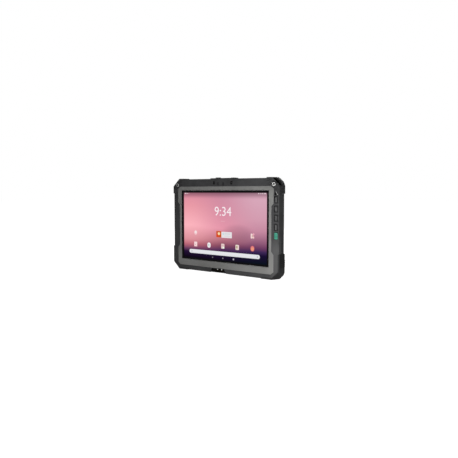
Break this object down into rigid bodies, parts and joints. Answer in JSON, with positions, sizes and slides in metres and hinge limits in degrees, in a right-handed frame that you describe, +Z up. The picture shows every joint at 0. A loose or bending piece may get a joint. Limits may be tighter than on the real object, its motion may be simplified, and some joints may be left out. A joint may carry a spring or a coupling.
{
  "type": "rugged field data collector tablet",
  "caption": "Rugged field data collector: a landscape tablet with a grey display bezel, rubber corner bumpers, side keys, a dock socket and removable rear batteries.",
  "frame": {"origin": "on the floor under the middle of the tablet standing on its lower corner bumpers", "axes": "+X to the viewer's right across the screen, +Z up, and the screen faces -Y"},
  "size_m": [0.278, 0.0198, 0.192],
  "materials": {
    "frame_polymer": "fine spark-eroded grain, charcoal",
    "bezel_grey": "satin warm grey paint",
    "bumper_rubber": "soft-touch black elastomer",
    "cover_polymer": "coarser moulded grain, near black",
    "cover_glass": "optically bonded cover glass with a black printed border",
    "lcd": "lit picture",
    "optical_film": "clear light guide",
    "magnesium": "cast and milled",
    "bright_steel": "turned and polished",
    "black_steel": "black zinc plate",
    "brass": "knurled insert",
    "gold_contact": "gold-plated contact",
    "circuit_board": "solder mask",
    "chip": "moulded chip package",
    "key_polymer": "dark key with a lighter grey grip",
    "power_green": "translucent green key",
    "seal_silicone": "silicone",
    "window_black": "smoked clear window",
    "battery_case": "moulded battery case",
    "lamp_lens": "frosted lens",
    "graphite": "graphite heat spreader"
  },
  "bodies": {
    "tablet": {"front_frame": "frame_polymer", "display_bezel": "bezel_grey", "cover_glass": "cover_glass", "display_gasket": "seal_silicone", "lcd_panel": "lcd", "backlight_tray": "magnesium", "light_guide": "optical_film", "corner_bumper_top_left": "bumper_rubber", "corner_bumper_top_right": "bumper_rubber", "corner_bumper_bottom_left": "bumper_rubber", "corner_bumper_bottom_right": "bumper_rubber", "strap_post_screws": "bright_steel", "key_seal": "seal_silicone", "dome_switches": "bright_steel", "key_board": "circuit_board", "indicator_window": "window_black", "indicator_light": "lamp_lens", "light_sensor_window": "window_black", "front_camera_window": "window_black", "light_sensor": "chip", "front_camera_module": "chip", "microphones": "bright_steel", "dock_connector": "chip", "dock_contacts": "gold_contact", "chassis_plate": "magnesium", "main_board": "circuit_board", "board_standoffs": "brass", "processor_shield": "bright_steel", "processor": "chip", "heat_spreader": "graphite", "card_reader": "bright_steel", "antennas": "gold_contact", "loudspeaker": "chip", "rear_cover": "cover_polymer", "rear_seal": "seal_silicone", "rear_cover_screws": "black_steel", "strap_inserts": "brass", "rear_camera_window": "window_black", "rear_camera_module": "chip", "rear_lamp": "lamp_lens", "speaker_grille": "black_steel", "battery_terminals": "gold_contact", "port_door_pins": "bright_steel", "usb_socket_left": "bright_steel", "usb_socket_right": "bright_steel", "audio_socket": "bright_steel"},
    "function_key_1": {"function_key_1": "key_polymer"},
    "function_key_2": {"function_key_2": "key_polymer"},
    "function_key_3": {"function_key_3": "key_polymer"},
    "function_key_4": {"function_key_4": "key_polymer"},
    "power_key": {"power_key": "power_green"},
    "battery_left": {"battery_left": "battery_case"},
    "latch_left": {"battery_latch_left": "key_polymer"},
    "door_left": {"port_door_left": "bumper_rubber"},
    "battery_right": {"battery_right": "battery_case"},
    "latch_right": {"battery_latch_right": "key_polymer"},
    "door_right": {"port_door_right": "bumper_rubber"}
  },
  "joints": [
    {"name": "function_key_1_press", "type": "slide", "parent": "tablet", "child": "function_key_1", "axis": [0, 1, 0], "range_m": [0, 0.0007], "stiffness_N_per_m": 1500},
    {"name": "function_key_2_press", "type": "slide", "parent": "tablet", "child": "function_key_2", "axis": [0, 1, 0], "range_m": [0, 0.0007], "stiffness_N_per_m": 1500},
    {"name": "function_key_3_press", "type": "slide", "parent": "tablet", "child": "function_key_3", "axis": [0, 1, 0], "range_m": [0, 0.0007], "stiffness_N_per_m": 1500},
    {"name": "function_key_4_press", "type": "slide", "parent": "tablet", "child": "function_key_4", "axis": [0, 1, 0], "range_m": [0, 0.0007], "stiffness_N_per_m": 1500},
    {"name": "power_key_press", "type": "slide", "parent": "tablet", "child": "power_key", "axis": [0, 1, 0], "range_m": [0, 0.0007], "stiffness_N_per_m": 1500},
    {"name": "port_door_right_hinge", "type": "hinge", "parent": "tablet", "child": "door_right", "pos_m": [0.135, 0.004, 0.0604], "axis": [0, 0, 1], "range_deg": [0, 100]},
    {"name": "port_door_left_hinge", "type": "hinge", "parent": "tablet", "child": "door_left", "pos_m": [-0.135, 0.004, 0.0641], "axis": [0, 0, -1], "range_deg": [0, 100]},
    {"name": "battery_latch_left_slide", "type": "slide", "parent": "tablet", "child": "latch_left", "axis": [0, 0, -1], "range_m": [0, 0.004]},
    {"name": "battery_left_removal", "type": "slide", "parent": "tablet", "child": "battery_left", "axis": [0, 1, 0], "range_m": [0, 0.03]},
    {"name": "battery_latch_right_slide", "type": "slide", "parent": "tablet", "child": "latch_right", "axis": [0, 0, -1], "range_m": [0, 0.004]},
    {"name": "battery_right_removal", "type": "slide", "parent": "tablet", "child": "battery_right", "axis": [0, 1, 0], "range_m": [0, 0.03]}
  ]
}
